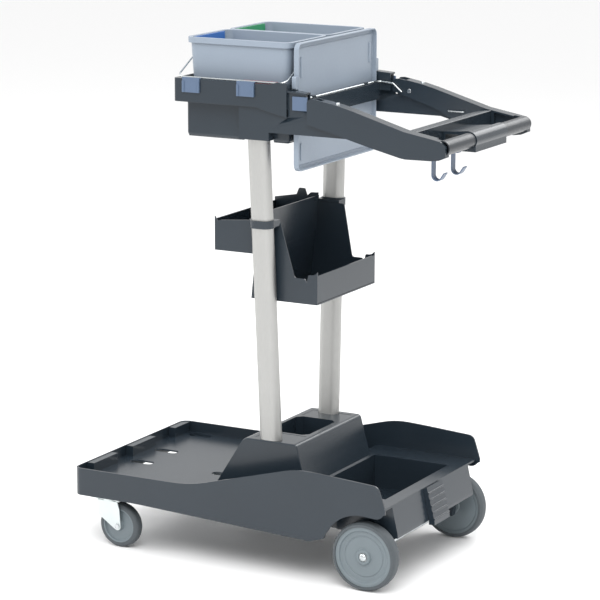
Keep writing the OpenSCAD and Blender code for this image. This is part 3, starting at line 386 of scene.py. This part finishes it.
class BuildFinishes(bpy.types.Operator):
    """Make the plastics, metals and rubbers"""

    bl_idname = "cart.finishes"
    bl_label = "Finishes"

    def execute(self, context):
        make_finishes()
        return {"FINISHED"}


class BuildBase(bpy.types.Operator):
    """Build the tray base with its covers and foot plate"""

    bl_idname = "cart.base"
    bl_label = "Base"

    def execute(self, context):
        sizes = context.scene.cart_sizes
        bm = from_frame("base_tray")
        # the console's long shoulders, all above the tray, are rounded more than its walls are thick
        shoulder = sizes.console_half_width
        tray_top = 170 * MM
        edges = [
            e for e in bm.edges
            if all(abs(abs(v.co.y) - shoulder) < SAME_PLACE and v.co.z > tray_top for v in e.verts)
            and len(e.link_faces) == 2 and e.calc_face_angle_signed(0) > math.radians(40)
        ]
        cut_edges(bm, edges, 7 * MM, 6)
        standing_for("base_tray", bm, sizes.body_round, 3)
        for node in ("column_cover_left", "column_cover_right"):
            rounded(node, 0.4 * MM, 2)
        rounded("foot_plate", sizes.fine_round, 2)
        return {"FINISHED"}


class BuildWheels(bpy.types.Operator):
    """Build the rear wheels and their axle"""

    bl_idname = "cart.wheels"
    bl_label = "Rear wheels"

    def execute(self, context):
        for side, out in (("left", -1), ("right", 1)):
            lo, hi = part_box("rear_tyre_" + side)
            centre = (lo + hi) / 2
            half, radius = (hi.y - lo.y) / MM / 2, (hi.z - lo.z) / MM / 2
            rim = radius - (hi.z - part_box("rear_wheel_" + side)[1].z) / MM
            bush = (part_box("rear_bush_" + side)[1].z - centre.z) / MM
            # the outer face has a raised hub, a dished web with a groove and a raised rim
            outer = [
                (bush, half - 1.2), (14.6, half - 1), (16, half - 1.6), (17, half - 4), (18.5, half - 6.4),
                (20, half - 7), (rim - 23, half - 7), (rim - 22, half - 8.2), (rim - 20.4, half - 8.2),
                (rim - 19.4, half - 7), (rim - 12, half - 7), (rim - 10, half - 6), (rim - 8.4, half - 3),
                (rim - 7.2, half - 2.2), (rim, half - 2.2),
            ]
            inner = [(rim, 2.2 - half), (rim - 5, 2.2 - half), (rim - 8, 5 - half), (18, 5 - half),
                     (16, 3 - half), (bush, 3 - half)]
            points = [(r, off * out) for r, off in outer + inner]
            standing_for("rear_wheel_" + side, turned(points, centre, "Y"), 0.3 * MM, 2, 24)
            tread = [
                (rim, -half), (rim + 4, -half), (rim + 5.5, 0.5 - half), (radius - 3.4, 3.2 - half),
                (radius - 1.6, 4.8 - half), (radius - 0.5, 7.2 - half), (radius, 10.5 - half),
            ]
            points = tread + [(r, -off) for r, off in reversed(tread)]
            standing_for("rear_tyre_" + side, turned(points, centre, "Y", 128), 0, angle=50)
            rounded("rear_bush_" + side, 0)
        rounded("rear_axle", 0)
        rounded("axle_caps", 0, angle=50)
        return {"FINISHED"}


class BuildCasters(bpy.types.Operator):
    """Build the swivel casters"""

    bl_idname = "cart.casters"
    bl_label = "Casters"

    def execute(self, context):
        for side in SIDES:
            rounded("caster_plate_" + side, 0.6 * MM, 2)
            rounded("caster_fork_" + side, 0.7 * MM, 3, corner=6 * MM)
            rounded("caster_axle_" + side, 0.3 * MM, 2)
            rounded("caster_wheel_" + side, 0.6 * MM, 2)
            lo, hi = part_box("caster_tyre_" + side)
            half, radius = (hi.y - lo.y) / MM / 2, (hi.z - lo.z) / MM / 2
            rim = radius - (hi.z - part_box("caster_wheel_" + side)[1].z) / MM
            tread = [
                (rim, -half), (rim + 3, -half), (radius - 4, 1.2 - half), (radius - 1.8, 3 - half),
                (radius - 0.5, 5.4 - half), (radius, 8.5 - half),
            ]
            points = tread + [(r, -off) for r, off in reversed(tread)]
            standing_for("caster_tyre_" + side, turned(points, (lo + hi) / 2, "Y", 112), 0, angle=50)
        return {"FINISHED"}


class BuildColumns(bpy.types.Operator):
    """Build the columns and their screws"""

    bl_idname = "cart.columns"
    bl_label = "Columns"

    def execute(self, context):
        for node in ("column_left", "column_right", "column_screws"):
            rounded(node, 0)
        return {"FINISHED"}


class BuildOrganiser(bpy.types.Operator):
    """Build the tool organiser and its straps"""

    bl_idname = "cart.organiser"
    bl_label = "Organiser"

    def execute(self, context):
        rounded("organiser", 1.2 * MM, 3)
        for node in ("organiser_strap_left", "organiser_strap_right"):
            rounded(node, 0.8 * MM, 2)
        return {"FINISHED"}


class BuildFrame(bpy.types.Operator):
    """Build the bucket tub, the frame, its brackets and clips"""

    bl_idname = "cart.frame"
    bl_label = "Bucket frame"

    def execute(self, context):
        bm = from_frame("bucket_tub")
        low = [e for axis in "XY" for e in at_corners(bm, axis, low_only=True)]
        cut_edges(bm, at_corners(bm, "Z") + low, 8 * MM, 6, clamp=False)
        standing_for("bucket_tub", bm, 1.5 * MM, 3)
        bm = from_frame("bucket_frame")
        cut_edges(bm, at_corners(bm, "Z"), 9 * MM, 6)
        standing_for("bucket_frame", bm, 1.5 * MM, 3)
        for side in SIDES:
            rounded("side_bracket_" + side, 1.2 * MM, 3)
            rounded("frame_clips_" + side, 0.7 * MM, 3, corner=5 * MM)
        rounded("colour_tab", 0.5 * MM, 2)
        rounded("clamp_saddles", 0.6 * MM, 2)
        return {"FINISHED"}


def bucket_shell(lo, hi, rim, wall, taper, skirt):
    """The outer skin of a bucket with a rim turned out and down, open at the top."""
    inset = Vector((rim, rim, 0))
    top = Vector((0, 0, wall))
    bm = cuboid(lo + inset, hi - inset - top)
    middle = (lo + hi) / 2
    span = hi - lo - 2 * inset
    low = [v for v in bm.verts if v.co.z < middle.z]
    bmesh.ops.scale(
        bm, vec=(1 - 2 * taper / span.x, 1 - 2 * taper / span.y, 1), verts=low,
        space=Matrix.Translation(-middle),
    )
    upright = [e for e in bm.edges if abs(e.verts[0].co.z - e.verts[1].co.z) > wall]
    cut_edges(bm, upright, 17 * MM, 6)
    foot = min(v.co.z for v in bm.verts)
    cut_edges(bm, [e for e in bm.edges if all(v.co.z < foot + SAME_PLACE for v in e.verts)], 7 * MM, 4)
    cover = [f for f in bm.faces if f.normal.z > 0.9]
    bmesh.ops.delete(bm, geom=cover, context="FACES_ONLY")
    edge = [e for e in bm.edges if e.is_boundary]
    grown = bmesh.ops.extrude_edge_only(bm, edges=edge)["geom"]
    ring = [v for v in grown if isinstance(v, bmesh.types.BMVert)]
    reach = 2 * (rim - wall)
    bmesh.ops.scale(
        bm, vec=(1 + reach / span.x, 1 + reach / span.y, 1), verts=ring, space=Matrix.Translation(-middle)
    )
    edge = [e for e in grown if isinstance(e, bmesh.types.BMEdge)]
    grown = bmesh.ops.extrude_edge_only(bm, edges=edge)["geom"]
    hem = [v for v in grown if isinstance(v, bmesh.types.BMVert)]
    bmesh.ops.translate(bm, vec=(0, 0, -skirt), verts=hem)
    bmesh.ops.recalc_face_normals(bm, faces=bm.faces)
    floor = min(bm.faces, key=lambda f: f.calc_center_median().z)
    if floor.normal.z > 0:
        bmesh.ops.reverse_faces(bm, faces=bm.faces)
    bmesh.ops.solidify(bm, geom=bm.faces, thickness=wall)
    return bm


class BuildBuckets(bpy.types.Operator):
    """Build the buckets with their inserts and bails"""

    bl_idname = "cart.buckets"
    bl_label = "Buckets"

    def execute(self, context):
        for side in SIDES:
            lo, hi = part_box("bucket_" + side)
            shell = bucket_shell(lo, hi, 5 * MM, 2.5 * MM, 8 * MM, 10 * MM)
            # boss round the bail's rear end, 21 mm under the rim
            pivot = (hi.x - 5.4 * MM, (lo.y + hi.y) / 2, hi.z - 21 * MM)
            outline = [(0, 0), (6.5, 0), (6.5, 2.2), (5.4, 3.2), (3.6, 3.4), (0, 3.4)]
            boss = turned(outline, pivot, "X", 32)
            standing_for("bucket_" + side, joined(shell, boss), 0.9 * MM, 3)
            rounded("bucket_insert_" + side, 0.6 * MM, 2)
            rounded("bail_" + side, 0)
        return {"FINISHED"}


class BuildLid(bpy.types.Operator):
    """Build the lid and the wire clamp behind it"""

    bl_idname = "cart.lid"
    bl_label = "Lid"

    def execute(self, context):
        lo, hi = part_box("lid")
        ear = 11 * MM
        ear_height = 28 * MM
        wall = 2.5 * MM
        bm = cuboid((lo.x, lo.y + ear, lo.z), (hi.x, hi.y - ear, hi.z))
        cut_edges(bm, along(bm, "X"), 15 * MM, 8)
        front = max(bm.faces, key=lambda f: f.calc_center_median().x)
        # a rim around a shallow tray, with a raised field in its middle
        depth = hi.x - lo.x - wall
        for step, sink in ((wall, 0), (0.8 * MM, depth), (7.5 * MM, 0), (2 * MM, -2.2 * MM)):
            bmesh.ops.inset_region(bm, faces=[front], thickness=step, use_even_offset=True)
            bmesh.ops.translate(bm, vec=(-sink, 0, 0), verts=front.verts)
        # ears that rest on the side rails
        ears = []
        for sign in (-1, 1):
            y = lo.y if sign < 0 else hi.y
            a, b = sorted((y, y - sign * (ear + 2 * MM)))
            block = cuboid((lo.x + MM, a, EAR_HEIGHT), (hi.x - MM, b, EAR_HEIGHT + ear_height))
            cut_edges(block, along(block, "X"), 4 * MM, 4)
            ears.append(block)
        # hooks moulded in the tray, two near each side
        tabs = []
        for y in (lo.y + ear + 23.5 * MM, hi.y - ear - 23.5 * MM):
            for z0, z1 in ((lo.z + 22 * MM, lo.z + 58 * MM), (hi.z - 74 * MM, hi.z - 30 * MM)):
                tab = cuboid((lo.x + 1.5 * MM, y - 3 * MM, z0), (lo.x + 7 * MM, y + 3 * MM, z1))
                cut_edges(tab, along(tab, "X"), 2.4 * MM, 3)
                tabs.append(tab)
        standing_for("lid", joined(bm, *ears, *tabs), 0.7 * MM, 3)
        rounded("bag_clamp", 0)
        return {"FINISHED"}


class BuildHandle(bpy.types.Operator):
    """Build the folding handle with its grip, rail and hooks"""

    bl_idname = "cart.handle"
    bl_label = "Handle"

    def execute(self, context):
        for side in SIDES:
            rounded("handle_arm_" + side, 1.4 * MM, 3)
        rounded("handle_crossbar", 1.4 * MM, 3)
        rounded("grip_tube", 0)
        rounded("grip_bridge", 1.2 * MM, 3)
        rounded("latch_studs", 0, angle=50)
        rounded("fold_pins", 0.6 * MM, 2)
        rounded("hook_rail", 0.8 * MM, 2)
        rounded("handle_hooks", 0.4 * MM, 2)
        rounded("bag_catches", 0)
        return {"FINISHED"}


class BuildStage(bpy.types.Operator):
    """Build the floor, the lights and the camera"""

    bl_idname = "cart.stage"
    bl_label = "Stage"

    def execute(self, context):
        scene = context.scene
        bm = bmesh.new()
        bmesh.ops.create_grid(bm, x_segments=1, y_segments=1, size=14)
        mesh = bpy.data.meshes.new("floor")
        bm.to_mesh(mesh)
        bm.free()
        floor = bpy.data.objects.new("floor", mesh)
        scene.collection.objects.link(floor)
        made, _, shader, _ = new_finish("painted_studio_floor")
        shader.inputs["Base Color"].default_value = (0.93, 0.93, 0.93, 1)
        shader.inputs["Roughness"].default_value = 0.8
        mesh.materials.append(made)

        world = bpy.data.worlds.new("studio")
        scene.world = world
        world.use_nodes = True
        back = world.node_tree.nodes["Background"]
        back.inputs["Color"].default_value = (1, 1, 1, 1)
        back.inputs["Strength"].default_value = 1.0

        for name, place, turn, size, power in (
            ("key", (1.6, -3.4, 4.4), (38, 0, 25), 3.0, 155),
            ("fill", (-3.6, -1.2, 2.6), (62, 0, -72), 2.5, 60),
            ("back", (1.0, 3.6, 3.6), (-48, 0, -15), 3.0, 90),
            ("top", (0.2, -0.4, 4.6), (6, 0, 0), 2.4, 35),
        ):
            data = bpy.data.lights.new(name, "AREA")
            data.energy = power
            data.size = size
            light = bpy.data.objects.new(name, data)
            scene.collection.objects.link(light)
            light.location = place
            light.rotation_euler = [math.radians(a) for a in turn]

        data = bpy.data.cameras.new("camera")
        data.lens = 158.46
        data.sensor_width = 36
        data.clip_end = 60
        camera = bpy.data.objects.new("camera", data)
        scene.collection.objects.link(camera)
        azimuth, pitch, roll = (math.radians(a) for a in (28.38, 12.07, 0.16))
        camera.matrix_world = (
            Matrix.Translation((2.7019, -5.0115, 1.7778))
            @ Matrix.Rotation(azimuth, 4, "Z")
            @ Matrix.Rotation(math.pi / 2 - pitch, 4, "X")
            @ Matrix.Rotation(roll, 4, "Z")
        )
        scene.camera = camera
        scene.view_settings.view_transform = "Standard"
        return {"FINISHED"}


STEPS = (
    BuildFinishes, BuildBase, BuildWheels, BuildCasters, BuildColumns, BuildOrganiser,
    BuildFrame, BuildBuckets, BuildLid, BuildHandle, BuildStage,
)


class CartPanel(bpy.types.Panel):
    """Lists the steps that build the cart"""

    bl_idname = "CART_PT_steps"
    bl_label = "Cart"
    bl_space_type = "VIEW_3D"
    bl_region_type = "UI"
    bl_category = "Cart"

    def draw(self, context):
        for step in STEPS:
            self.layout.operator(step.bl_idname)
        for group in (context.scene.cart_sizes, context.scene.cart_colours):
            for key in group.__annotations__:
                self.layout.prop(group, key)


CLASSES = (CartSizes, CartColours, *STEPS, CartPanel)


def register():
    for cls in CLASSES:
        bpy.utils.register_class(cls)
    bpy.types.Scene.cart_sizes = PointerProperty(type=CartSizes)
    bpy.types.Scene.cart_colours = PointerProperty(type=CartColours)


def unregister():
    del bpy.types.Scene.cart_colours
    del bpy.types.Scene.cart_sizes
    for cls in reversed(CLASSES):
        bpy.utils.unregister_class(cls)


def main():
    register()
    for step in STEPS:
        group, name = step.bl_idname.split(".")
        getattr(getattr(bpy.ops, group), name)()


if __name__ == "__main__":
    main()
